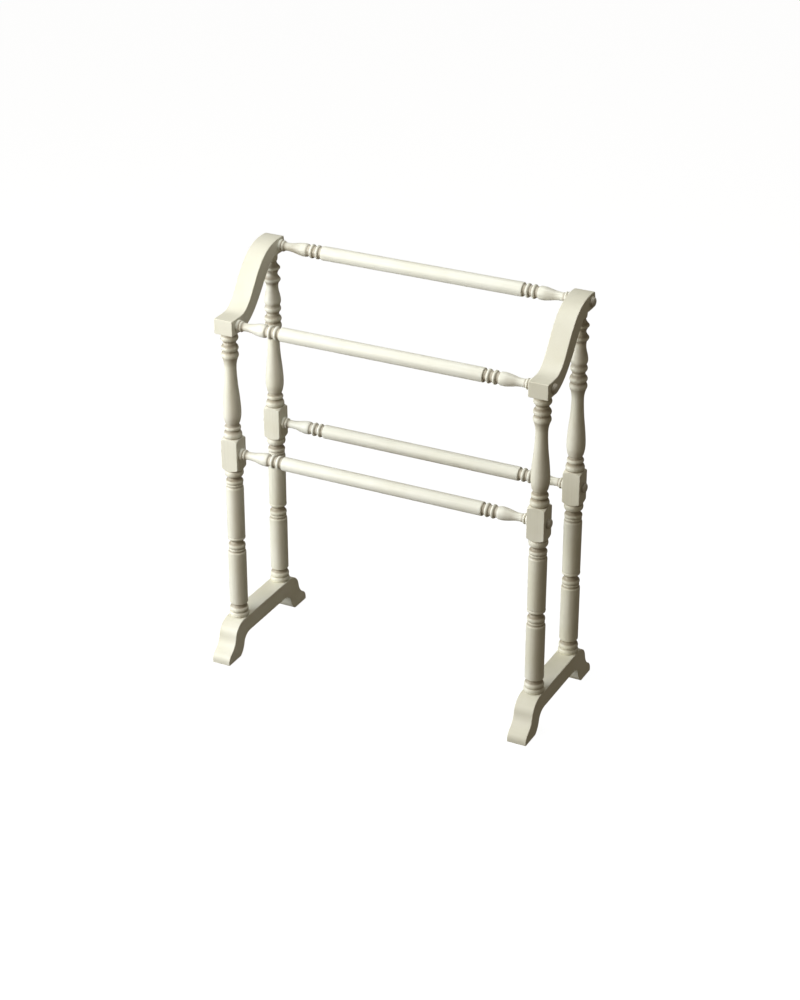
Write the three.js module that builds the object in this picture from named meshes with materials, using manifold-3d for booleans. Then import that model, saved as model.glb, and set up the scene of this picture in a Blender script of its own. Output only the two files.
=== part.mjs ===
// A free-standing quilt rack of painted turned wood, in millimetres, +Z up.
// Two side frames stand left and right. Each has a sawn foot, a short front post, a tall rear post
// and a scroll arm that joins the post tops. Four turned rails cross between the frames along X.
// The origin is on the floor under the middle of the rack; -Y is the front.
import * as THREE from "three";
import { mergeVertices } from "three/addons/utils/BufferGeometryUtils.js";
import Module from "manifold-3d";

const wasm = await Module();
wasm.setup();

// Overall size
const WIDTH = 711.2;
const DEPTH = 317.5;
const HEIGHT = 838.2;
const GAP = 0.3; // between pieces that touch

// Side frames
const BOARD = 40; // thickness of the sawn feet and arms
const BUTTON_PROUD = 8;
const FACE_X = WIDTH / 2 - BUTTON_PROUD; // outer face of the feet and arms
const POST_X = FACE_X - BOARD / 2;
const FRONT_Y = -81; // axes of the front posts and rails
const REAR_Y = 86; // axes of the rear posts and rails
const FOOT_HEIGHT = 78;
const ARCH_HEIGHT = 42;
const PAD_LENGTH = 45.7;

// Scroll arms
const ARM_FRONT = -103.5;
const ARM_REAR = 105.5;
const ARM_LOW = 698.6; // underside of the front block
const ARM_LEDGE = 730; // top of the front block
const ARM_SEAT = 806; // underside over the rear post

// Blocks in the posts, and the rails that enter them
const BLOCK = 36;
const BLOCK_HALF = 35; // half of the block's height
const SHOULDER = 5.5; // height of the turned corners at each end of a block
const BLOCK_Z = 442.3;
const TOP_FRONT_Z = 714.3;
const TOP_REAR_Z = 822;
const RAIL_R = 14;
const RAIL_TENON = { r: 9, length: 12 };
const FOOT_TENON = { r: 9, length: 22 };
const ARM_TENON = { r: 6, length: 7.5 };

// Screws and the buttons that cover them
const COUNTERBORE = { r: 6.6, depth: 12 };
const SCREW = { headR: 4.4, headLength: 3, shankR: 2.1, length: 46 };
const SCREW_HOLE_R = 2.4;
const BUTTON = { r: 10, stemR: 6.2, stemLength: 7.5, rim: 4.4 };

// Facets round each turned piece
const POST_SIDES = 10;
const RAIL_SIDES = 10;
const SMALL_SIDES = 8;

const WOOD = { color: 0xebe6d4, roughness: 0.5, metalness: 0 };
const STEEL = { color: 0x8f9196, roughness: 0.35, metalness: 1 };

// ---- Solids -------------------------------------------------------------------------------

function toSolid(geometry) {
  const bare = geometry.clone();
  bare.deleteAttribute("normal");
  bare.deleteAttribute("uv");
  const merged = mergeVertices(bare, 1e-4);
  return new wasm.Manifold(new wasm.Mesh({
    numProp: 3,
    vertProperties: new Float32Array(merged.attributes.position.array),
    triVerts: new Uint32Array(merged.index.array),
  }));
}

function toGeometry(solid) {
  const mesh = solid.getMesh();
  const geometry = new THREE.BufferGeometry();
  geometry.setAttribute("position", new THREE.BufferAttribute(new Float32Array(mesh.vertProperties), 3));
  geometry.setIndex(new THREE.BufferAttribute(new Uint32Array(mesh.triVerts), 1));
  geometry.computeVertexNormals();
  return geometry;
}

// A lathe turns [radius, height] points about Z. Its facets are shifted by half a step,
// so that the flats of a turned piece and of the socket it enters lie parallel.
function turned(points, sides) {
  const profile = points.map(([r, z]) => new THREE.Vector2(r, z));
  return new THREE.LatheGeometry(profile, sides, Math.PI / sides).rotateX(Math.PI / 2);
}

function rod(r, from, to, sides) {
  return turned([[0, from], [r, from], [r, to], [0, to]], sides);
}

// The same, with the axis of turning laid along X.
function alongX(geometry) {
  return geometry.rotateY(Math.PI / 2);
}

// A board cut to a [y, z] outline and centred on x = 0.
function board(shape, thickness) {
  const geometry = new THREE.ExtrudeGeometry(shape, { depth: thickness, bevelEnabled: false, curveSegments: 9 });
  return geometry.translate(0, 0, -thickness / 2).rotateX(Math.PI / 2).rotateZ(Math.PI / 2);
}

// ---- Turnings -----------------------------------------------------------------------------

// A turning is a run of strokes [length, end radius, bulge, steps]. The outline of a stroke is
// a straight line plus half a sine wave: a bulge above 0 cuts a bead, one below 0 cuts a cove.
function strokes(start, list) {
  const points = [start];
  let [r, z] = start;
  for (const [length, endR, bulge = 0, steps = bulge ? 3 : 1] of list) {
    for (let i = 1; i <= steps; i += 1) {
      const t = i / steps;
      points.push([r + (endR - r) * t + bulge * Math.sin(Math.PI * t), z + length * t]);
    }
    r = endR;
    z += length;
  }
  return points;
}

// A vase is a smooth curve through a few [radius, height] points.
function vase(points, steps) {
  const curve = new THREE.SplineCurve(points.map(([r, z]) => new THREE.Vector2(r, z)));
  return curve.getPoints(steps).map((p) => [p.x, p.y]);
}

// From the foot up to the top of the square block. Both posts share it.
function lowerTurning() {
  const base = strokes([18.8, FOOT_HEIGHT + GAP], [
    [10.4, 17, 1.8], // base bead
    [1.1, 17.8],
    [9.5, 17, 1.9], // bead
    [9.5, 18.5, -2.3], // cove
    [114.6, 18.5], // lower plain length
    [3.4, 15.9],
    [6.5, 16, 0.9, 2], // small bead
    [8.2, 16.4, 1.4, 2], // bead
    [12, 17.4, -4], // cove
    [4.5, 17.9], // lip
    [1.2, 17.1],
    [1.2, 17.7],
    [107.1, 17.9], // upper plain length
    [3.5, 15.7],
    [6.4, 16, 0.8, 2], // small bead
    [7, 16.4, 1.4, 2], // bead
    [9.6, 16.8, -3.6], // cove
    [11.5, 17.4, 1.8], // bead under the block
    [1, 16.4],
    [2, 19.2],
  ]);
  const corner = BLOCK * 0.72;
  const shoulder = strokes(base[base.length - 1], [
    [SHOULDER, corner, 1.5, 2],
    [2 * (BLOCK_Z - base[base.length - 1][1] - SHOULDER), corner],
    [SHOULDER, 19.2, 1.5, 2],
  ]);
  return base.concat(shoulder.slice(1));
}

// From the block up past the long vase, to the bead that the front post ends with.
function middleTurning([r, z]) {
  const foot = strokes([r, z], [
    [1.3, 16.3],
    [14, 14, 3.4], // bead on the block
    [2.2, 14.4],
    [8.4, 14, 2.4], // small bead
    [7.6, 15.2, -0.9, 2], // cove
  ]);
  const base = foot[foot.length - 1][1];
  const belly = vase([
    [15.2, base], [17.8, base + 13], [18.1, base + 29], [16.3, base + 53],
    [13.2, base + 83], [11.8, base + 115], [13.4, base + 129], [16, base + 137],
  ], 9);
  const beads = strokes(belly[belly.length - 1], [
    [11.6, 14, 2, 2], // ring
    [2.4, 15],
    [12.8, 13.4, 3], // bead
    [6.7, 13, -0.6, 2], // notch
  ]);
  return foot.concat(belly.slice(1), beads.slice(1));
}

function frontTop([r, z]) {
  return strokes([r, z], [
    [1, 14.4],
    [11, 15.4, 2.5], // bead under the arm
    [ARM_LOW - GAP - z - 12, 15.4],
  ]).slice(1);
}

function rearTop([r, z]) {
  const bead = strokes([r, z], [[13.5, 14.2, 3], [2, 14.4]]);
  const base = bead[bead.length - 1][1];
  const belly = vase([
    [14.4, base], [16.3, base + 5], [16.7, base + 11], [15.2, base + 20], [12.8, base + 30],
    [12.1, base + 38], [12.8, base + 45], [14.4, base + 48],
  ], 8);
  const top = strokes(belly[belly.length - 1], [
    [3.6, 16.6],
    [4, 16.3, 0.7, 2], // lower ring
    [9.8, 11.2, -0.9, 2], // hollow
    [10.4, 16.3, -0.9, 2], // hollow
    [4, 15.8, 0.9, 2], // upper ring
    [10.2, 9.8, -0.9, 2], // hollow
    [2, 9.8],
    [1, 11.4],
  ]);
  const end = top[top.length - 1][1];
  const collar = strokes(top[top.length - 1], [[ARM_SEAT - GAP - end, 12, 0.7, 2]]);
  return bead.slice(1).concat(belly.slice(1), top.slice(1), collar.slice(1));
}

// A rail between two frame pieces of the given width, from one tenon to the other. In each end
// it has a pilot hole that is a little deeper than the screw.
function railProfile(width) {
  const halfLength = POST_X - width / 2;
  const tip = halfLength + RAIL_TENON.length;
  const holeEnd = POST_X + width / 2 - COUNTERBORE.depth - SCREW.length - 2;
  const end = strokes([11.4, halfLength - GAP], [
    [-5, 11, 1, 2], // collar against the frame
    [-1, 9.4],
    [-1, 9.4],
    [-0.6, 10.4],
    [-3.4, 9.8, 0.8, 2], // thin ring
    [-1, 8.6],
  ]);
  const from = end[end.length - 1][1];
  const belly = vase([
    [8.6, from], [8, from - 8], [8.9, from - 18], [11.2, from - 29], [13, from - 40], [13, from - 48],
    [12.2, from - 51],
  ], 7);
  const grooves = strokes(belly[belly.length - 1], [
    [-1, 11],
    [-5.2, 11],
    [-0.7, 12.2],
    [-6.2, 12.2, 1.6, 2], // ring
    [-0.6, 11],
    [-5.4, 11],
    [-0.6, 12.2],
    [-6.2, 12.2, 1.6, 2], // ring
    [-0.6, 11],
    [-5.2, 11],
    [-1.3, RAIL_R],
  ]);
  const half = [
    [0, holeEnd], [SCREW_HOLE_R, holeEnd], [SCREW_HOLE_R, tip], [RAIL_TENON.r, tip],
    [RAIL_TENON.r, halfLength - GAP], ...end, ...belly.slice(1), ...grooves.slice(1),
  ];
  const mirrored = half.map(([r, z]) => [r, -z]).reverse();
  return half.concat(mirrored).reverse();
}

// ---- Bores --------------------------------------------------------------------------------

// The hole that takes a rail's tenon on the inner side, the screw through the wall, and the
// button on the outer side. Its axis is X and the piece is centred on x = 0, outwards being +X.
function railBore(width) {
  const half = width / 2;
  const profile = [
    [0, -half - 1], [RAIL_TENON.r + GAP, -half - 1],
    [RAIL_TENON.r + GAP, -half + RAIL_TENON.length + GAP],
    [SCREW_HOLE_R, -half + RAIL_TENON.length + GAP],
    [SCREW_HOLE_R, half - COUNTERBORE.depth], [COUNTERBORE.r, half - COUNTERBORE.depth],
    [COUNTERBORE.r, half + 1], [0, half + 1],
  ];
  return alongX(turned(profile, RAIL_SIDES));
}

// ---- Pieces -------------------------------------------------------------------------------

function footShape() {
  const half = DEPTH / 2;
  const inner = half - PAD_LENGTH;
  const shape = new THREE.Shape();
  shape.moveTo(half, 0);
  shape.lineTo(half, 6);
  shape.quadraticCurveTo(half - 0.3, 17, half - 11.3, 23.5);
  shape.quadraticCurveTo(half - 25.8, 32, half - 29.3, 50);
  shape.quadraticCurveTo(half - 33.3, 72, half - 60.8, FOOT_HEIGHT);
  shape.lineTo(60.8 - half, FOOT_HEIGHT);
  shape.quadraticCurveTo(33.3 - half, 72, 29.3 - half, 50);
  shape.quadraticCurveTo(25.8 - half, 32, 11.3 - half, 23.5);
  shape.quadraticCurveTo(0.3 - half, 17, -half, 6);
  shape.lineTo(-half, 0);
  shape.lineTo(-inner, 0);
  shape.quadraticCurveTo(12 - inner, 8, 16 - inner, 23);
  shape.quadraticCurveTo(20.5 - inner, ARCH_HEIGHT, 43 - inner, ARCH_HEIGHT);
  shape.lineTo(inner - 43, ARCH_HEIGHT);
  shape.quadraticCurveTo(inner - 20.5, ARCH_HEIGHT, inner - 16, 23);
  shape.quadraticCurveTo(inner - 12, 8, inner, 0);
  return shape;
}

function armShape() {
  const tipZ = HEIGHT - 2;
  const shape = new THREE.Shape();
  shape.moveTo(ARM_FRONT, ARM_LOW);
  shape.lineTo(-66, ARM_LOW);
  shape.quadraticCurveTo(-61, ARM_LOW, -57, ARM_LOW + 1.5);
  shape.bezierCurveTo(4, ARM_LOW + 19.5, 34, ARM_SEAT, 68, ARM_SEAT);
  shape.lineTo(96, ARM_SEAT);
  shape.quadraticCurveTo(ARM_REAR, ARM_SEAT + 2, ARM_REAR, ARM_SEAT + 16);
  shape.lineTo(ARM_REAR - 3.5, tipZ);
  shape.quadraticCurveTo(97, HEIGHT, 86, HEIGHT);
  shape.bezierCurveTo(-14, HEIGHT, -14, ARM_LEDGE, -72, ARM_LEDGE);
  shape.lineTo(ARM_FRONT, ARM_LEDGE - 0.4);
  return shape;
}

function footSolid() {
  const bottom = FOOT_HEIGHT - FOOT_TENON.length - GAP;
  let foot = toSolid(board(footShape(), BOARD));
  for (const y of [FRONT_Y, REAR_Y]) {
    const socket = rod(FOOT_TENON.r + GAP, bottom, FOOT_HEIGHT + 1, POST_SIDES).translate(0, y, 0);
    foot = foot.subtract(toSolid(socket));
  }
  return foot;
}

// Modelled as the right-hand arm, with its outer face towards +X.
function armSolid() {
  let arm = toSolid(board(armShape(), BOARD));
  for (const [y, seat, railZ] of [[FRONT_Y, ARM_LOW, TOP_FRONT_Z], [REAR_Y, ARM_SEAT, TOP_REAR_Z]]) {
    const top = seat + ARM_TENON.length + GAP;
    const socket = rod(ARM_TENON.r + GAP, seat - 1, top, POST_SIDES).translate(0, y, 0);
    const bore = railBore(BOARD).translate(0, y, railZ);
    arm = arm.subtract(toSolid(socket)).subtract(toSolid(bore));
  }
  return arm;
}

// The block is square where the turning is wider than the block, so its corners are turned off.
function postSolid(rear) {
  const seat = rear ? ARM_SEAT : ARM_LOW;
  const lower = lowerTurning();
  const middle = middleTurning(lower[lower.length - 1]);
  const top = (rear ? rearTop : frontTop)(middle[middle.length - 1]);
  const tenons = {
    low: [[0, FOOT_HEIGHT - FOOT_TENON.length], [FOOT_TENON.r, FOOT_HEIGHT - FOOT_TENON.length],
      [FOOT_TENON.r, FOOT_HEIGHT + GAP]],
    high: [[ARM_TENON.r, seat - GAP], [ARM_TENON.r, seat + ARM_TENON.length], [0, seat + ARM_TENON.length]],
  };
  const profile = [...tenons.low, ...lower, ...middle.slice(1), ...top, ...tenons.high];
  const turning = toSolid(turned(profile, POST_SIDES));
  const above = new THREE.BoxGeometry(100, 100, HEIGHT).translate(0, 0, BLOCK_Z + BLOCK_HALF + HEIGHT / 2);
  const below = new THREE.BoxGeometry(100, 100, HEIGHT).translate(0, 0, BLOCK_Z - BLOCK_HALF - HEIGHT / 2);
  const square = new THREE.BoxGeometry(BLOCK, BLOCK, 2 * BLOCK_HALF + 2).translate(0, 0, BLOCK_Z);
  const keep = toSolid(above).add(toSolid(below)).add(toSolid(square));
  return turning.intersect(keep).subtract(toSolid(railBore(BLOCK).translate(0, 0, BLOCK_Z)));
}

function buttonSolid() {
  const dome = [];
  const steps = 3;
  for (let i = 0; i <= steps; i += 1) {
    const angle = (Math.PI / 2) * (i / steps);
    const rise = BUTTON_PROUD - BUTTON.rim;
    dome.push([BUTTON.r * Math.cos(angle), BUTTON.rim + rise * Math.sin(angle)]);
  }
  dome[steps][0] = 0;
  const profile = [
    [0, -BUTTON.stemLength], [BUTTON.stemR, -BUTTON.stemLength], [BUTTON.stemR, GAP],
    [BUTTON.r, GAP], ...dome,
  ];
  return toSolid(alongX(turned(profile, SMALL_SIDES)));
}

// The seat of the head is at x = 0 and the shank runs towards -X.
function screwSolid() {
  const profile = [
    [0, GAP - SCREW.length], [SCREW.shankR, GAP + 4 - SCREW.length], [SCREW.shankR, GAP],
    [SCREW.headR, GAP], [SCREW.headR, GAP + SCREW.headLength], [0, GAP + SCREW.headLength],
  ];
  return toSolid(alongX(turned(profile, SMALL_SIDES)));
}

function railSolid(width) {
  return toSolid(alongX(turned(railProfile(width), RAIL_SIDES)));
}

// ---- Assembly -----------------------------------------------------------------------------

const rack = new THREE.Group();

function place(parent, name, solid, look, position) {
  const mesh = new THREE.Mesh(toGeometry(solid), new THREE.MeshStandardMaterial(look));
  mesh.name = name;
  mesh.position.set(...position);
  parent.add(mesh);
}

// Solids are modelled with their outer side towards +X, and are mirrored for the left frame.
const sides = [
  { name: "left", sign: -1, hand: (solid) => solid.mirror([1, 0, 0]) },
  { name: "right", sign: 1, hand: (solid) => solid },
];

const crossings = [
  { name: "top_front", y: FRONT_Y, z: TOP_FRONT_Z, width: BOARD },
  { name: "top_rear", y: REAR_Y, z: TOP_REAR_Z, width: BOARD },
  { name: "lower_front", y: FRONT_Y, z: BLOCK_Z, width: BLOCK },
  { name: "lower_rear", y: REAR_Y, z: BLOCK_Z, width: BLOCK },
];

for (const { name: side, sign, hand } of sides) {
  const frame = new THREE.Group();
  frame.position.x = sign * POST_X;
  place(frame, `${side}_foot`, hand(footSolid()), WOOD, [0, 0, 0]);
  place(frame, `${side}_front_post`, hand(postSolid(false)), WOOD, [0, FRONT_Y, 0]);
  place(frame, `${side}_rear_post`, hand(postSolid(true)), WOOD, [0, REAR_Y, 0]);
  place(frame, `${side}_scroll_arm`, hand(armSolid()), WOOD, [0, 0, 0]);
  for (const { name, y, z, width } of crossings) {
    const face = (sign * width) / 2;
    const seat = sign * (width / 2 - COUNTERBORE.depth);
    place(frame, `${side}_${name}_button`, hand(buttonSolid()), WOOD, [face, y, z]);
    place(frame, `${side}_${name}_screw`, hand(screwSolid()), STEEL, [seat, y, z]);
  }
  rack.add(frame);
}

for (const { name, y, z, width } of crossings) {
  place(rack, `${name}_rail`, railSolid(width), WOOD, [0, y, z]);
}

export default rack;
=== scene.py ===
import math

import bmesh
import bpy
import numpy as np
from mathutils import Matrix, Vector


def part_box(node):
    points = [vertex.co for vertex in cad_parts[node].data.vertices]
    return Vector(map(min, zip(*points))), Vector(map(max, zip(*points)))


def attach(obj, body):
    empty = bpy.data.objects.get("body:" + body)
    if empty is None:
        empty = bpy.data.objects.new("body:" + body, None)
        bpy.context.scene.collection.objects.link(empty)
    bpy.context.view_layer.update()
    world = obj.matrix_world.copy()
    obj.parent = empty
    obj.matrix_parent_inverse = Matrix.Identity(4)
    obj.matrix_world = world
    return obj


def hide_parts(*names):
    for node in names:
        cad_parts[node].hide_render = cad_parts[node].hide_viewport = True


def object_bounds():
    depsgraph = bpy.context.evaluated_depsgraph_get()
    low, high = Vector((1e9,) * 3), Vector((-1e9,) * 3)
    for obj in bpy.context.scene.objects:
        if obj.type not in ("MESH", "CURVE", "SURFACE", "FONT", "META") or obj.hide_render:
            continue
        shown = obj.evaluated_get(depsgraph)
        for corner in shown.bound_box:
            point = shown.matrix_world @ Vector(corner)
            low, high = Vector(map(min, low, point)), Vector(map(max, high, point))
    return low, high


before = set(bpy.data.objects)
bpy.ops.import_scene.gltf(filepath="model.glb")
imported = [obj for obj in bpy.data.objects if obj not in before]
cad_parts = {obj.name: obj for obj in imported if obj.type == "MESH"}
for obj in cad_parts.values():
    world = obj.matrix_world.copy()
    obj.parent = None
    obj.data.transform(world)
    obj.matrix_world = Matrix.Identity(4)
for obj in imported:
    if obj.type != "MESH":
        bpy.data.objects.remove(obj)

MM = 0.001
cad_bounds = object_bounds()


# ---- Places and sizes ------------------------------------------------------------------------

def span(name):
    """Lowest and highest corner of a CAD node, in millimetres."""
    low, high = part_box(name)
    return low / MM, high / MM


def middle(name):
    low, high = span(name)
    return (low + high) / 2


foot_low, foot_high = span("right_foot")
arm_low, arm_high = span("right_scroll_arm")
BOARD = foot_high.x - foot_low.x
POST_X = (foot_high.x + foot_low.x) / 2
DEPTH = foot_high.y - foot_low.y
FOOT_HEIGHT = foot_high.z
HEIGHT = arm_high.z
FRONT_Y = middle("right_front_post").y
REAR_Y = middle("right_rear_post").y
BLOCK_Z = middle("lower_front_rail").z
TOP_FRONT_Z = middle("top_front_rail").z
TOP_REAR_Z = middle("top_rear_rail").z

GAP = 0.3  # between pieces that touch
ARCH_HEIGHT = 42  # of the hollow under a foot
PAD_LENGTH = 45.7  # of the flat at each end of a foot
ARM_FRONT = arm_low.y
ARM_REAR = arm_high.y
ARM_LOW = arm_low.z
ARM_LEDGE = ARM_LOW + 31.4
ARM_SEAT = HEIGHT - 32.2
EASING = 1.6  # rounding of the sawn edges

BLOCK = 36  # width of a post's square block
BLOCK_HALF = 35  # half the height of that block
BLOCK_NECK_R = 19.2  # of the post, where the block begins and ends
SHOULDER = 5.5  # height of the rounding at each end of the block
RAIL_R = 14
RAIL_TENON = {"r": 9, "length": 12}
FOOT_TENON = {"r": 9, "length": 22}
ARM_TENON = {"r": 6, "length": 7.5}
COUNTERBORE = {"r": 6.6, "depth": 12}
SCREW = {"head_r": 4.4, "head_length": 3, "shank_r": 2.1, "core_r": 1.5, "length": 46, "pitch": 1.8}
SCREW_NECK = 8  # length of a screw under its head that has no thread
SCREW_POINT = 7  # length over which its tip tapers
SCREW_SLOT = {"long": 4.6, "wide": 1, "floor": 1.9}
SCREW_HOLE_R = 2.4
BUTTON = {"r": 10, "stem_r": 6.2, "stem_length": 7.5, "rim": 4.4, "proud": 8}

CROSSINGS = {
    "top_front": {"y": FRONT_Y, "z": TOP_FRONT_Z, "width": BOARD},
    "top_rear": {"y": REAR_Y, "z": TOP_REAR_Z, "width": BOARD},
    "lower_front": {"y": FRONT_Y, "z": BLOCK_Z, "width": BLOCK},
    "lower_rear": {"y": REAR_Y, "z": BLOCK_Z, "width": BLOCK},
}


# ---- Profiles --------------------------------------------------------------------------------

def strokes(start, run, step=0.6):
    """A turned outline [(r, z)], from a start and strokes (length, end radius, bulge, sharpness).
    A stroke is a straight line, or with a bulge a bead (above 0) or a cove (below 0).
    A bulge is round at a sharpness of 0.8, and comes to a soft point at 1.5."""
    points = [start]
    r, z = start
    for length, end_r, *shape in run:
        bulge, sharpness = shape + [0, 0.8][len(shape):]
        steps = max(6, round(abs(length) / step)) if bulge else 1
        for i in range(1, steps + 1):
            t = i / steps
            swell = bulge * (4 * t * (1 - t)) ** sharpness
            points.append((r + (end_r - r) * t + swell, z + length * t))
        r, z = end_r, z + length
    return points


def vase(points, per_span=10):
    """A smooth (Catmull-Rom) curve through a few (r, z) points."""
    ends = [points[0], *points, points[-1]]
    curve = []
    for a, b, c, d in zip(ends, ends[1:], ends[2:], ends[3:]):
        for i in range(per_span):
            t = i / per_span
            weights = (
                -0.5 * t + t * t - 0.5 * t ** 3,
                1 - 2.5 * t * t + 1.5 * t ** 3,
                0.5 * t + 2 * t * t - 1.5 * t ** 3,
                -0.5 * t * t + 0.5 * t ** 3,
            )
            curve.append(tuple(sum(w * p[k] for w, p in zip(weights, (a, b, c, d))) for k in (0, 1)))
    return curve + [points[-1]]


def resample(points, step=0.4):
    points = np.array(points, float)
    along = np.concatenate([[0], np.cumsum(np.hypot(*np.diff(points, axis=0).T))])
    at = np.linspace(0, along[-1], max(3, round(along[-1] / step) + 1))
    return np.stack([np.interp(at, along, points[:, k]) for k in (0, 1)], 1)


def simplified(points, tolerance):
    """Drops the points of a path that lie within the tolerance of a straight line."""
    keep = np.zeros(len(points), bool)
    keep[[0, -1]] = True
    pending = [(0, len(points) - 1)]
    while pending:
        first, last = pending.pop()
        if last - first < 2:
            continue
        line = points[last] - points[first]
        off = points[first + 1:last] - points[first]
        away = np.abs(line[0] * off[:, 1] - line[1] * off[:, 0]) / (np.hypot(*line) + 1e-9)
        worst = int(away.argmax())
        if away[worst] > tolerance:
            split = first + 1 + worst
            keep[split] = True
            pending += [(first, split), (split, last)]
    return points[keep]


def softened(points, passes=3, tolerance=0.012):
    """Rounds every crease of an outline a little, as paint does."""
    path = resample(points)
    for _ in range(passes):
        path[1:-1] = (path[:-2] + 2 * path[1:-1] + path[2:]) / 4
    return [tuple(p) for p in simplified(path, tolerance)]


def lower_turning():
    """From the foot up to the top of the square block. Both posts share it."""
    base = strokes((18.8, FOOT_HEIGHT + GAP), [
        (9.6, 18.3, 1.7), (0.6, 17), (0.7, 17), (0.6, 17.8),  # base bead and its groove
        (9.5, 17, 1.9), (8.7, 17.7, -2.5, 1.2), (0.8, 18.5),  # bead and cove
        (114.6, 18.5),  # lower plain length
        (1.2, 17.9), (2.2, 15.9), (1.2, 15.9),
        (4.1, 16.1, 1), (0.6, 15.2), (0.6, 16),  # small bead
        (8.2, 16.4, 1.4), (12, 17.4, -4.2, 1.1), (4.5, 17.9, 0.4),  # bead, cove and lip
        (1.2, 17.1), (1.2, 17.7), (107.1, 17.9),  # upper plain length
        (1.2, 17.2), (2.3, 15.7), (1, 15.9),
        (4.2, 16.1, 0.9), (0.6, 15.2), (0.6, 16),  # small bead
        (7, 16.4, 1.4), (9.6, 16.8, -3.8, 1.1), (11.5, 17.4, 1.8),  # bead, cove, bead under the block
        (1, 16.4), (2, BLOCK_NECK_R),
    ])
    corner = BLOCK * 0.72  # just past the corners of the square, so that block_reach sets the shape
    height = 2 * (BLOCK_Z - base[-1][1] - SHOULDER)
    block = strokes(base[-1], [(SHOULDER, corner, 1.5), (height, corner), (SHOULDER, BLOCK_NECK_R, 1.5)])
    return base + block[1:]


def middle_turning(start):
    """From the block up past the long vase, to the bead that the front post ends with."""
    foot = strokes(start, [
        (1.3, 16.3), (13.4, 14.8, 3), (0.6, 13.8), (1.6, 13.8), (0.6, 14.6),  # bead on the block
        (8.4, 14.4, 2.1), (0.7, 13.5), (6.9, 15.2, -0.9),  # small bead and cove
    ])
    z = foot[-1][1]
    belly = vase([
        (15.2, z), (17.8, z + 13), (18.1, z + 29), (16.3, z + 53),
        (13.2, z + 83), (11.8, z + 115), (13.4, z + 129), (16, z + 137),
    ])
    beads = strokes(belly[-1], [
        (11, 15.2, 1.6), (1, 13.9), (1.4, 13.9), (0.6, 15),  # ring and its groove
        (12.8, 13.4, 3, 1.1), (6.7, 13, -0.6),  # pointed bead and notch
    ])
    return foot + belly[1:] + beads[1:]


def front_top(start):
    """The last bead of the front post, and the plain neck under the arm."""
    bead = strokes(start, [(1, 14.4), (11, 15.6, 2.4), (1, 14.8)])
    neck = (15.4, ARM_LOW - GAP)
    return [*bead, neck]


def rear_top(start):
    """The rear post goes on with a bead, a short vase, two ringed hollows and a collar."""
    bead = strokes(start, [(13.5, 14.2, 3, 1.1), (2, 14.4)])
    z = bead[-1][1]
    belly = vase([
        (14.4, z), (16.3, z + 5), (16.7, z + 11), (15.2, z + 20),
        (12.8, z + 30), (12.1, z + 38), (12.8, z + 45), (14.4, z + 48),
    ])
    top = strokes(belly[-1], [
        (3.6, 16.6, 0.3), (4, 16.3, 0.7), (9.8, 11.2, -0.9),  # ring with a hollow flank
        (10.4, 16.3, -0.9), (4, 15.8, 0.9), (10.2, 9.8, -0.9), (2, 9.8),  # ring between hollow flanks
    ])
    left_over = ARM_SEAT - GAP - top[-1][1]
    collar = strokes(top[-1], [(1, 11.4), (left_over - 1, 12, 0.7)])
    return bead + belly[1:] + top[1:] + collar[1:]


def rail_end(half_length):
    """The turned end of a rail, from the frame's face inwards to the plain length."""
    collar = strokes((11.4, half_length - GAP), [
        (-5.2, 10.8, 1), (-0.6, 9.2), (-1.2, 9.2), (-0.6, 10.4), (-3.4, 9.8, 0.9), (-1, 8.6),
    ])
    x = collar[-1][1]
    belly = vase([
        (8.6, x), (8, x - 8), (8.9, x - 18), (11.2, x - 29), (13, x - 40), (13, x - 48), (12.2, x - 51),
    ])
    rings = strokes(belly[-1], [
        (-1, 11), (-5.2, 10.9, -0.3), (-0.7, 12.2),
        (-6.2, 12.2, 1.7), (-0.6, 11), (-5.4, 10.9, -0.3), (-0.6, 12.2),
        (-6.2, 12.2, 1.7), (-0.6, 11), (-5.2, 10.9, -0.3), (-0.5, 13.4), (-0.8, RAIL_R),
    ])
    return collar + belly[1:] + rings[1:]


# ---- Mesh making -----------------------------------------------------------------------------

def round_angles(count):
    return [2 * math.pi * i / count for i in range(count)]


def squared_angles(count):
    """Even steps, with extra ones where a square block has its corners."""
    extra = [math.radians(45 + 90 * quarter + step)
             for quarter in range(4) for step in (-3, -2.1, -1.3, -0.6, 0.6, 1.3, 2.1, 3)]
    return sorted(set(round(a, 6) for a in round_angles(count) + extra))


def square_reach(angle, half, power=36):
    """Distance from the axis to the side of a square with slightly rounded corners."""
    return half / (abs(math.cos(angle)) ** power + abs(math.sin(angle)) ** power) ** (1 / power)


def soft_min(a, b, power=60):
    """The smaller of two lengths, with a slight rounding where they are nearly equal."""
    return (a ** -power + b ** -power) ** (-1 / power)


def skin(rings):
    """A closed mesh through rings of points. A fan closes each end."""
    count = len(rings[0])
    points = [np.concatenate(rings)]
    faces = []
    for k in range(len(rings) - 1):
        for i in range(count):
            j = (i + 1) % count
            faces.append((k * count + i, k * count + j, (k + 1) * count + j, (k + 1) * count + i))
    total = len(rings) * count
    for ring, first, pole in ((rings[0], 0, total), (rings[-1], total - count, total + 1)):
        points.append(ring.mean(0)[None])
        faces += [(first + i, first + (i + 1) % count, pole) for i in range(count)]
    mesh = bpy.data.meshes.new("skin")
    mesh.from_pydata(np.concatenate(points) * MM, [], faces)
    return outward(mesh)


def outward(mesh):
    """The same mesh with every face turned to the outside."""
    bm = bmesh.new()
    bm.from_mesh(mesh)
    bmesh.ops.recalc_face_normals(bm, faces=bm.faces)
    bm.to_mesh(mesh)
    bm.free()
    return mesh


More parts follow.
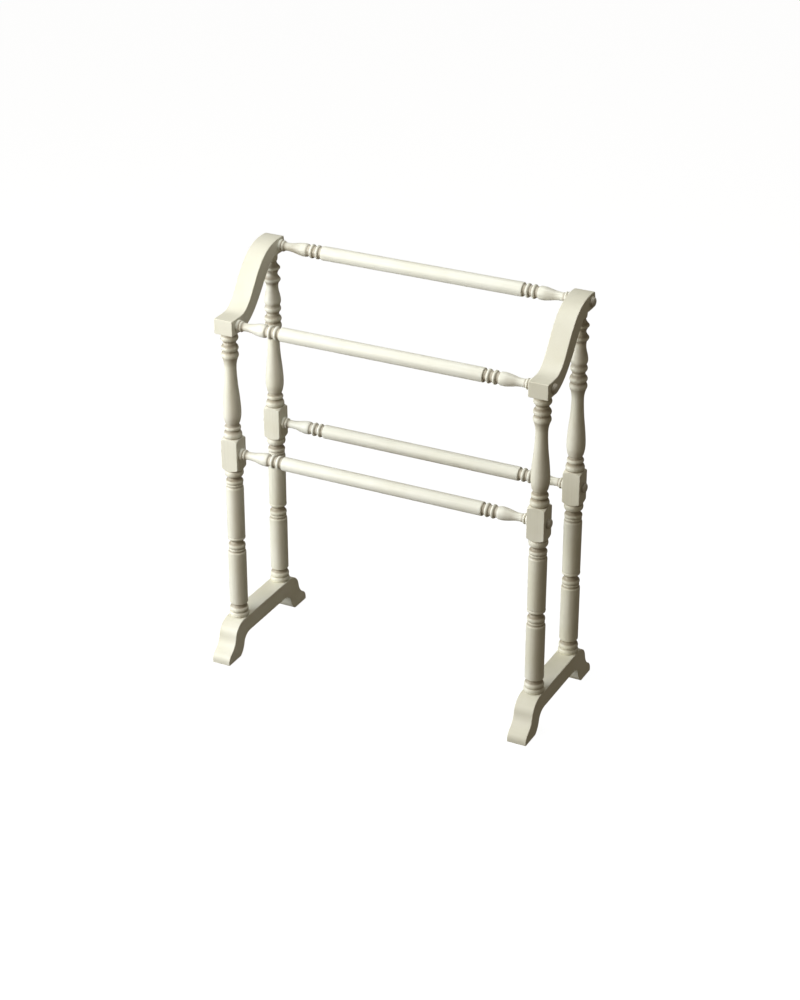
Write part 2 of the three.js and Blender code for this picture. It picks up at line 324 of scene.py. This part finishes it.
def turned(profile, angles, reach=None):
    """Turns an outline about Z. Where reach(r, z, angle) is given, it says the radius instead of r."""
    rings = []
    for r, z in profile:
        radii = [r if reach is None else reach(r, z, a) for a in angles]
        rings.append(np.array([(q * math.cos(a), q * math.sin(a), z) for q, a in zip(radii, angles)]))
    return skin(rings)


def rod(r, low, high, count=48):
    return turned([(r, low), (r, high)], round_angles(count))


def lay_along_x(mesh):
    """Turns a mesh made about Z so that its axis lies along X."""
    co = coordinates(mesh)
    return with_coordinates(mesh, co[:, [2, 0, 1]])


def coordinates(mesh):
    """The points of a mesh in metres, one row each."""
    co = np.empty(len(mesh.vertices) * 3, np.float32)
    mesh.vertices.foreach_get("co", co)
    return co.reshape(-1, 3)


def with_coordinates(mesh, co):
    mesh.vertices.foreach_set("co", np.ascontiguousarray(co, np.float32).ravel())
    mesh.update()
    return mesh


def moved(mesh, x=0, y=0, z=0):
    return with_coordinates(mesh, coordinates(mesh) + np.array((x, y, z)) * MM)


def mirrored(mesh):
    """A copy of a right-hand mesh for the left frame."""
    copy = mesh.copy()
    with_coordinates(copy, coordinates(copy) * np.array((-1, 1, 1)))
    copy.flip_normals()
    return copy


def cut(mesh, cutters):
    """Takes closed cutter meshes out of a closed mesh."""
    solid = bpy.data.objects.new("solid", mesh)
    tools = [bpy.data.objects.new("cutter", cutter) for cutter in cutters]
    for obj in [solid, *tools]:
        bpy.context.scene.collection.objects.link(obj)
    for tool in tools:
        boolean = solid.modifiers.new("cut", "BOOLEAN")
        boolean.operation = "DIFFERENCE"
        boolean.solver = "EXACT"
        boolean.object = tool
    bpy.context.view_layer.update()
    seen = solid.evaluated_get(bpy.context.evaluated_depsgraph_get())
    result = bpy.data.meshes.new_from_object(seen)
    for obj in [solid, *tools]:
        bpy.data.objects.remove(obj)
    return result


def paint_depth(mesh, profile, axis, step=0.5, window=7, full_depth=2.2):
    """Stores how deep each point lies below the outline near it, for the glaze and the painted shade in
    grooves.
    """
    path = resample(profile, step)
    order = np.argsort(path[:, 1])
    r, z = np.minimum(path[order, 0], BLOCK / 2 + 0.5), path[order, 1]
    padded = np.pad(r, window, mode="edge")
    around = np.array([padded[i:i + 2 * window + 1].max() for i in range(len(r))])
    depth = np.clip((around - r) / full_depth, 0, 1)
    return store_crevice(mesh, np.interp(coordinates(mesh)[:, axis] / MM, z, depth))


def store_crevice(mesh, values):
    """Gives each point of a mesh its share of glaze and painted shade, from 0 to 1."""
    mesh.attributes.new("crevice", "FLOAT", "POINT").data.foreach_set("value", values.astype(np.float32))
    return mesh


def arc(points, steps=20):
    """A Bezier curve through its 3 or 4 control points, without the first one."""
    degree = len(points) - 1
    curve = []
    for i in range(1, steps + 1):
        t = i / steps
        weights = [math.comb(degree, k) * (1 - t) ** (degree - k) * t ** k for k in range(degree + 1)]
        curve.append(tuple(sum(w * p[k] for w, p in zip(weights, points)) for k in (0, 1)))
    return curve


def board(outline, thickness):
    """A board cut to a (y, z) outline and centred on x = 0, with all its edges eased."""
    bm = bmesh.new()
    verts = [bm.verts.new((thickness / 2, y, z)) for y, z in outline]
    face = bm.faces.new(verts)
    extruded = bmesh.ops.extrude_face_region(bm, geom=[face])
    back = [v for v in extruded["geom"] if isinstance(v, bmesh.types.BMVert)]
    bmesh.ops.translate(bm, verts=back, vec=(-thickness, 0, 0))
    bmesh.ops.recalc_face_normals(bm, faces=bm.faces)
    sharp = [e for e in bm.edges if e.calc_face_angle(0) > math.radians(28)]
    rounding = {"offset": EASING, "segments": 4, "profile": 0.5}
    bmesh.ops.bevel(bm, geom=sharp, affect="EDGES", clamp_overlap=True, **rounding)
    bmesh.ops.scale(bm, vec=(MM, MM, MM), verts=bm.verts)
    mesh = bpy.data.meshes.new("board")
    bm.to_mesh(mesh)
    bm.free()
    return mesh


# ---- The shapes of the pieces ----------------------------------------------------------------

def rail_bore(width):
    """What a rail's tenon, its screw and its button take out of a frame piece centred on x = 0."""
    half = width / 2
    shapes = [
        (RAIL_TENON["r"] + GAP, -half - 3, -half + RAIL_TENON["length"] + GAP),
        (SCREW_HOLE_R, -half, half),
        (COUNTERBORE["r"], half - COUNTERBORE["depth"], half + 3),
    ]
    return [lay_along_x(rod(r, low, high)) for r, low, high in shapes]


def foot_mesh():
    """A foot: its rear half is outlined by toe and arch, and its front half is the same mirrored."""
    half = DEPTH / 2
    inner = half - PAD_LENGTH
    toe = [(half, 0), (half, 6)]
    toe += arc([toe[-1], (half - 0.3, 17), (half - 11.3, 23.5)])
    toe += arc([toe[-1], (half - 25.8, 32), (half - 29.3, 50)])
    toe += arc([toe[-1], (half - 33.3, 72), (half - 60.8, FOOT_HEIGHT)])
    arch = [(inner, 0)]
    arch += arc([arch[-1], (inner - 12, 8), (inner - 16, 23)])
    arch += arc([arch[-1], (inner - 20.5, ARCH_HEIGHT), (inner - 43, ARCH_HEIGHT)])
    rear = arch[::-1] + toe
    front = [(-y, z) for y, z in rear[::-1]]
    bottom = FOOT_HEIGHT - FOOT_TENON["length"] - GAP
    sockets = [moved(rod(FOOT_TENON["r"] + GAP, bottom, FOOT_HEIGHT + 3), y=y) for y in (FRONT_Y, REAR_Y)]
    return cut(board(rear + front, BOARD), sockets)


def arm_mesh():
    """A scroll arm: round the underside from the front to the rear, and back along the top."""
    outline = [(ARM_FRONT, ARM_LOW), (-66, ARM_LOW)]
    outline += arc([outline[-1], (-61, ARM_LOW), (-57, ARM_LOW + 1.5)], 6)
    outline += arc([outline[-1], (4, ARM_LOW + 19.5), (34, ARM_SEAT), (68, ARM_SEAT)], 48)
    outline += [(96, ARM_SEAT)]
    outline += arc([outline[-1], (ARM_REAR, ARM_SEAT + 2), (ARM_REAR, ARM_SEAT + 16)])
    outline += [(ARM_REAR - 3.5, HEIGHT - 2)]
    outline += arc([outline[-1], (97, HEIGHT), (86, HEIGHT)], 8)
    outline += arc([outline[-1], (-14, HEIGHT), (-14, ARM_LEDGE), (-72, ARM_LEDGE)], 56)
    outline += [(ARM_FRONT, ARM_LEDGE - 0.4)]
    cutters = []
    for y, seat, rail_z in ((FRONT_Y, ARM_LOW, TOP_FRONT_Z), (REAR_Y, ARM_SEAT, TOP_REAR_Z)):
        cutters.append(moved(rod(ARM_TENON["r"] + GAP, seat - 3, seat + ARM_TENON["length"] + GAP), y=y))
        cutters += [moved(bore, y=y, z=rail_z) for bore in rail_bore(BOARD)]
    return cut(board(outline, BOARD), cutters)


def block_reach(r, z, angle):
    """Holds a turned radius inside the square of the block, near the block's height."""
    if abs(z - BLOCK_Z) > BLOCK_HALF + 1:
        return r
    return soft_min(r, square_reach(angle, BLOCK / 2))


def post_mesh(rear):
    """The rear or the front post, with a tenon at each end and the bores through its block."""
    seat = ARM_SEAT if rear else ARM_LOW
    outside = lower_turning()
    outside += middle_turning(outside[-1])[1:]
    outside += (rear_top if rear else front_top)(outside[-1])[1:]
    bottom = FOOT_HEIGHT - FOOT_TENON["length"]
    foot_r = FOOT_TENON["r"]
    foot_tenon = [(foot_r - 1, bottom), (foot_r, bottom + 1), (foot_r, outside[0][1])]
    top = seat + ARM_TENON["length"]
    arm_r = ARM_TENON["r"]
    arm_tenon = [(arm_r, seat - GAP), (arm_r, top - 1), (arm_r - 1, top)]
    profile = [*foot_tenon, *softened(outside), *arm_tenon]
    mesh = turned(profile, squared_angles(96), block_reach)
    mesh = cut(mesh, [moved(bore, z=BLOCK_Z) for bore in rail_bore(BLOCK)])
    return paint_depth(mesh, outside, 2)


def rail_mesh(width):
    """A rail between frame pieces of this width, with a tenon and a screw hole at each end."""
    half_length = POST_X - width / 2
    tip = half_length + RAIL_TENON["length"]
    hole_end = POST_X + width / 2 - COUNTERBORE["depth"] - SCREW["length"] - 2
    end = rail_end(half_length)
    outside = end + [(r, -x) for r, x in end[::-1]]
    hole = [(SCREW_HOLE_R, hole_end), (SCREW_HOLE_R, tip), (RAIL_TENON["r"] - 1, tip),
            (RAIL_TENON["r"], tip - 1), (RAIL_TENON["r"], half_length - GAP)]
    profile = hole + softened(outside) + [(r, -x) for r, x in hole[::-1]]
    return lay_along_x(paint_depth(turned(profile, round_angles(72)), outside, 2))


def button_mesh():
    """A round-headed wooden plug: a stem, a thin rim and a domed cap."""
    r, stem_r, chamfer = BUTTON["r"], BUTTON["stem_r"], 0.8
    side = BUTTON["rim"] - GAP - 2 * chamfer
    cap = strokes((r - chamfer, GAP), [(chamfer, r), (side, r), (chamfer, r - chamfer)])
    dome_r, dome_start = cap[-1]
    dome = [(dome_r * math.cos(a), dome_start + (BUTTON["proud"] - dome_start) * math.sin(a))
            for a in np.linspace(0, math.pi / 2, 22)[1:-1]]
    bottom = -BUTTON["stem_length"]
    stem = [(stem_r - chamfer, bottom), (stem_r, bottom + chamfer), (stem_r, GAP)]
    mesh = turned(stem + cap + dome, round_angles(64))
    height = coordinates(mesh)[:, 2] / MM
    # Painted shade: the whole cap takes glaze brown, most at its rim against the face as a shaded crease,
    # and about half as much at its top.
    store_crevice(mesh, np.interp(height, [BUTTON["rim"], BUTTON["proud"]], [1, 0.5]))
    return lay_along_x(mesh)


def thread(r, z, angle):
    """Winds a thread round the core of a screw, and tapers it to the point."""
    if r != SCREW["core_r"]:
        return r
    phase = (z / SCREW["pitch"] - angle / (2 * math.pi)) % 1
    crest = max(0, 1 - abs(phase - 0.5) * 3.2)
    taper = min(1, (z + SCREW["length"]) / SCREW_POINT)
    return (SCREW["core_r"] + (SCREW["shank_r"] - SCREW["core_r"]) * crest) * (0.25 + 0.75 * taper)


def screw_slots():
    """Two crossed cutters for the recess in a screw's head."""
    slots = []
    height = 3
    for size in ((SCREW_SLOT["long"], SCREW_SLOT["wide"]), (SCREW_SLOT["wide"], SCREW_SLOT["long"])):
        bm = bmesh.new()
        bmesh.ops.create_cube(bm, size=1)
        bmesh.ops.scale(bm, vec=Vector((*size, height)) * MM, verts=bm.verts)
        bmesh.ops.translate(bm, vec=(0, 0, (SCREW_SLOT["floor"] + height / 2) * MM), verts=bm.verts)
        slot = bpy.data.meshes.new("slot")
        bm.to_mesh(slot)
        bm.free()
        slots.append(slot)
    return slots


def screw_mesh(thread_rings=182):
    """A pan-head wood screw with a real thread and a cross recess. Its head's seat is at x = 0."""
    tip = GAP - SCREW["length"]
    threaded = SCREW["length"] - SCREW_NECK
    head_r, head_length = SCREW["head_r"], SCREW["head_length"]
    profile = [(0.3, tip)]
    profile += [(SCREW["core_r"], tip + i * threaded / thread_rings) for i in range(1, thread_rings + 1)]
    profile += [(SCREW["shank_r"], -6), (SCREW["shank_r"], GAP), (head_r - 0.2, GAP)]
    profile += [(head_r * math.cos(a) ** 0.6, GAP + 0.3 + (head_length - 0.3) * math.sin(a))
                for a in np.linspace(0, math.pi / 2 * 0.9, 8)]
    return lay_along_x(cut(turned(profile, round_angles(28), thread), screw_slots()))


# ---- Materials -------------------------------------------------------------------------------

def linear(red, green, blue):
    """An sRGB colour, 0 to 255, as a linear RGBA one."""
    def channel(value):
        share = value / 255
        return share / 12.92 if share <= 0.04045 else ((share + 0.055) / 1.055) ** 2.4
    return (channel(red), channel(green), channel(blue), 1)


def add_node(tree, kind, inputs=None, **settings):
    """A new node. Each input is a plain value, or the output of another node."""
    made = tree.nodes.new(kind)
    for key, value in settings.items():
        setattr(made, key, value)
    for key, value in (inputs or {}).items():
        if isinstance(value, bpy.types.NodeSocket):
            tree.links.new(value, made.inputs[key])
        else:
            made.inputs[key].default_value = value
    return made


def noise(tree, vector, scale, detail, roughness=0.5):
    inputs = {"Vector": vector, "Scale": scale, "Detail": detail, "Roughness": roughness}
    return add_node(tree, "ShaderNodeTexNoise", inputs).outputs["Fac"]


def ranged(tree, value, low, high, to_low, to_high):
    """A value stretched from one range to another, and held inside it."""
    inputs = {"Value": value, "From Min": low, "From Max": high, "To Min": to_low, "To Max": to_high}
    return add_node(tree, "ShaderNodeMapRange", inputs).outputs["Result"]


def mixed(tree, share, first, second):
    """A colour between two others. At a share of 1 it is the second."""
    made = add_node(tree, "ShaderNodeMix", {"Factor": share}, data_type="RGBA")
    for socket, value in (("A", first), ("B", second)):
        target = next(s for s in made.inputs if s.name == socket and s.type == "RGBA")
        if isinstance(value, bpy.types.NodeSocket):
            tree.links.new(value, target)
        else:
            target.default_value = value
    return next(s for s in made.outputs if s.type == "RGBA")


def bumped(tree, height, strength, distance, normal=None):
    inputs = {"Height": height, "Strength": strength, "Distance": distance}
    if normal is not None:
        inputs["Normal"] = normal
    return add_node(tree, "ShaderNodeBump", inputs).outputs["Normal"]


def new_material(name):
    material = bpy.data.materials.new(name)
    material.use_nodes = True
    return material, material.node_tree, material.node_tree.nodes["Principled BSDF"]


BOARD_PAINT = (linear(239, 237, 225), linear(229, 226, 208))
# Painted light: the rails' light and deep tones are paler than the boards', standing in for light bounced
# up onto them from the floor.
LIT_RAIL_PAINT = (linear(249, 249, 241), linear(242, 241, 229))
PAINT_TONES = {"X": LIT_RAIL_PAINT, "Y": BOARD_PAINT, "Z": BOARD_PAINT}  # light and deep tone, by grain
# Brown of the glaze in grain lines and grooves; in the grooves it is partly painted shade.
GLAZE_AND_SHADE = linear(128, 106, 72)
STREAK_SHARE = {"X": 0.08, "Y": 0.05, "Z": 0.14}  # most glaze that a grain line holds, by grain


def painted_wood(name, grain):
    """Satin antique-white paint, brushed along the grain ("X", "Y" or "Z") over turned or sawn wood."""
    material, tree, shader = new_material(name)
    place = add_node(tree, "ShaderNodeTexCoord").outputs["Object"]
    stretch = [0.035 if axis == grain else 1.0 for axis in "XYZ"]
    along = add_node(tree, "ShaderNodeMapping", {"Vector": place, "Scale": stretch}).outputs["Vector"]
    grain_lines = noise(tree, along, 430, 4, 0.65)
    brush_lines = noise(tree, along, 260, 2)
    patches = noise(tree, place, 11, 3)
    peel = noise(tree, place, 900, 1)
    tone = ranged(tree, patches, 0.3, 0.7, 0, 1)
    colour = mixed(tree, tone, *PAINT_TONES[grain])
    streak = ranged(tree, grain_lines, 0.5, 0.8, 0, STREAK_SHARE[grain])
    colour = mixed(tree, streak, colour, GLAZE_AND_SHADE)
    # Glaze and painted shade: grooves and button caps are darkened towards the glaze brown by the crevice
    # attribute.
    crevice = add_node(tree, "ShaderNodeAttribute", attribute_name="crevice").outputs["Fac"]
    glaze_and_shade = ranged(tree, crevice, 0.08, 1, 0, 0.6)
    colour = mixed(tree, glaze_and_shade, colour, GLAZE_AND_SHADE)
    tree.links.new(colour, shader.inputs["Base Color"])
    tree.links.new(ranged(tree, brush_lines, 0.3, 0.7, 0.36, 0.5), shader.inputs["Roughness"])
    shader.inputs["Specular IOR Level"].default_value = 0.45
    normal = bumped(tree, brush_lines, 0.18, 0.0004)
    normal = bumped(tree, grain_lines, 0.25, 0.0002, normal)
    normal = bumped(tree, peel, 0.1, 0.0001, normal)
    tree.links.new(normal, shader.inputs["Normal"])
    return material


def screw_steel():
    """Dull zinc plating."""
    material, tree, shader = new_material("zinc_plated_steel")
    place = add_node(tree, "ShaderNodeTexCoord").outputs["Object"]
    spots = noise(tree, place, 420, 3)
    colour = mixed(tree, spots, (0.5, 0.51, 0.53, 1), (0.62, 0.62, 0.6, 1))
    tree.links.new(colour, shader.inputs["Base Color"])
    tree.links.new(ranged(tree, spots, 0.3, 0.7, 0.28, 0.42), shader.inputs["Roughness"])
    shader.inputs["Metallic"].default_value = 1
    return material


PAINT = {axis: painted_wood(f"antique_white_paint_{axis.lower()}", axis) for axis in "XYZ"}
STEEL = screw_steel()


# ---- The rack --------------------------------------------------------------------------------

def piece(name, node_name, mesh, material, is_board=False):
    """Makes an object of a mesh, in the place of one CAD node."""
    mesh.name = name
    mesh.materials.clear()
    mesh.materials.append(material)
    mesh.polygons.foreach_set("use_smooth", [True] * len(mesh.polygons))
    mesh.set_sharp_from_angle(angle=math.radians(38))
    obj = bpy.data.objects.new(name, mesh)
    bpy.context.scene.collection.objects.link(obj)
    if is_board:
        weighted = obj.modifiers.new("weighted normals", "WEIGHTED_NORMAL")
        weighted.keep_sharp = True
        weighted.weight = 100
    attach(obj, "root")
    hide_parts(node_name)


def both_sides(suffix, name_end, mesh, material, is_board=False):
    """The right-hand piece, and its mirror image on the left."""
    right = moved(mesh, x=POST_X)
    left = mirrored(right)
    for side, made in (("right", right), ("left", left)):
        piece(f"{side}_{suffix}_{name_end}", f"{side}_{suffix}", made, material, is_board)


both_sides("foot", "board", foot_mesh(), PAINT["Y"], True)
both_sides("scroll_arm", "board", arm_mesh(), PAINT["Y"], True)
both_sides("front_post", "turning", moved(post_mesh(False), y=FRONT_Y), PAINT["Z"])
both_sides("rear_post", "turning", moved(post_mesh(True), y=REAR_Y), PAINT["Z"])
for crossing, at in CROSSINGS.items():
    face = at["width"] / 2
    rail = moved(rail_mesh(at["width"]), y=at["y"], z=at["z"])
    piece(f"{crossing}_rail_turning", f"{crossing}_rail", rail, PAINT["X"])
    button = moved(button_mesh(), x=face, y=at["y"], z=at["z"])
    both_sides(f"{crossing}_button", "cap", button, PAINT["X"])
    screw = moved(screw_mesh(), x=face - COUNTERBORE["depth"], y=at["y"], z=at["z"])
    both_sides(f"{crossing}_screw", "threaded", screw, STEEL)


# ---- Floor, light and camera -----------------------------------------------------------------

def pale_backdrop():
    """A matt white that glows by itself, so that it stays even."""
    material, _, shader = new_material("pale_backdrop")
    shader.inputs["Base Color"].default_value = (0.15, 0.15, 0.15, 1)
    shader.inputs["Roughness"].default_value = 0.9
    shader.inputs["Specular IOR Level"].default_value = 0.1
    shader.inputs["Emission Color"].default_value = (1, 1, 1, 1)
    shader.inputs["Emission Strength"].default_value = 0.96
    return material


def staged(name, corners, faces, material):
    """A piece of the studio that is seen but throws no light on the rack."""
    mesh = bpy.data.meshes.new(name)
    mesh.from_pydata(corners, [], faces)
    mesh.materials.append(material)
    obj = bpy.data.objects.new(name, mesh)
    bpy.context.scene.collection.objects.link(obj)
    obj.visible_diffuse = False
    obj.visible_glossy = False
    return obj


def studio(reach=40):
    """A wide pale floor, and pale walls that stop no light."""
    outline = [(-reach, -reach), (reach, -reach), (reach, reach), (-reach, reach)]
    ground = [(x, y, 0) for x, y in outline]
    material = pale_backdrop()
    staged("floor", ground, [(0, 1, 2, 3)], material)
    walls = [(i, (i + 1) % 4, (i + 1) % 4 + 4, i + 4) for i in range(4)]
    backdrop = staged("backdrop", ground + [(x, y, reach) for x, y in outline], walls, material)
    backdrop.visible_shadow = False


def aimed(obj, at, target):
    """Puts a light or camera in the scene, looking at a target."""
    obj.location = at
    obj.rotation_euler = (Vector(target) - Vector(at)).to_track_quat("-Z", "Y").to_euler()
    bpy.context.scene.collection.objects.link(obj)
    return obj


def heading(azimuth, elevation):
    """The direction that lies this many degrees round from -Y towards +X, and up."""
    around, up = math.radians(azimuth), math.radians(elevation)
    return Vector((math.sin(around) * math.cos(up), -math.cos(around) * math.cos(up), math.sin(up)))


# name: azimuth and elevation in degrees, power in watts, colour
SOFTBOXES = {
    "low_left_softbox": (-60, 10, 57, (0.89, 0.95, 1)),
    "front_left_softbox": (-30, 25, 27.5, (1, 0.94, 0.83)),
    "top_softbox": (0, 85, 30, (0.97, 1, 0.98)),
}
SOFTBOX_DISTANCE = 2.6
SOFTBOX_SIDE = 1.2
FILL = {"colour": (1, 0.86, 0.62, 1), "strength": 0.124}  # even light from all round


def lighting():
    low, high = cad_bounds
    middle_point = (low + high) / 2
    for name, (azimuth, elevation, power, colour) in SOFTBOXES.items():
        light = bpy.data.lights.new(name, "AREA")
        light.size = SOFTBOX_SIDE
        light.energy = power
        light.color = colour
        at = middle_point + heading(azimuth, elevation) * SOFTBOX_DISTANCE
        aimed(bpy.data.objects.new(name, light), at, middle_point)
    world = bpy.data.worlds.new("studio")
    world.use_nodes = True
    background = world.node_tree.nodes["Background"]
    background.inputs["Color"].default_value = FILL["colour"]
    background.inputs["Strength"].default_value = FILL["strength"]
    bpy.context.scene.world = world


# Angles in degrees. The aim is measured from the middle of the rack.
CAMERA = {
    "azimuth": 26.94,
    "elevation": 26.69,
    "distance": 4.421,
    "lens": 81.37,
    "aim": (-0.0078, 0.0117, -0.0503),
}


def camera():
    low, high = cad_bounds
    target = (low + high) / 2 + Vector(CAMERA["aim"])
    data = bpy.data.cameras.new("camera")
    data.lens = CAMERA["lens"]
    at = target + heading(CAMERA["azimuth"], CAMERA["elevation"]) * CAMERA["distance"]
    bpy.context.scene.camera = aimed(bpy.data.objects.new("camera", data), at, target)


studio()
lighting()
camera()
bpy.context.scene.view_settings.view_transform = "Standard"
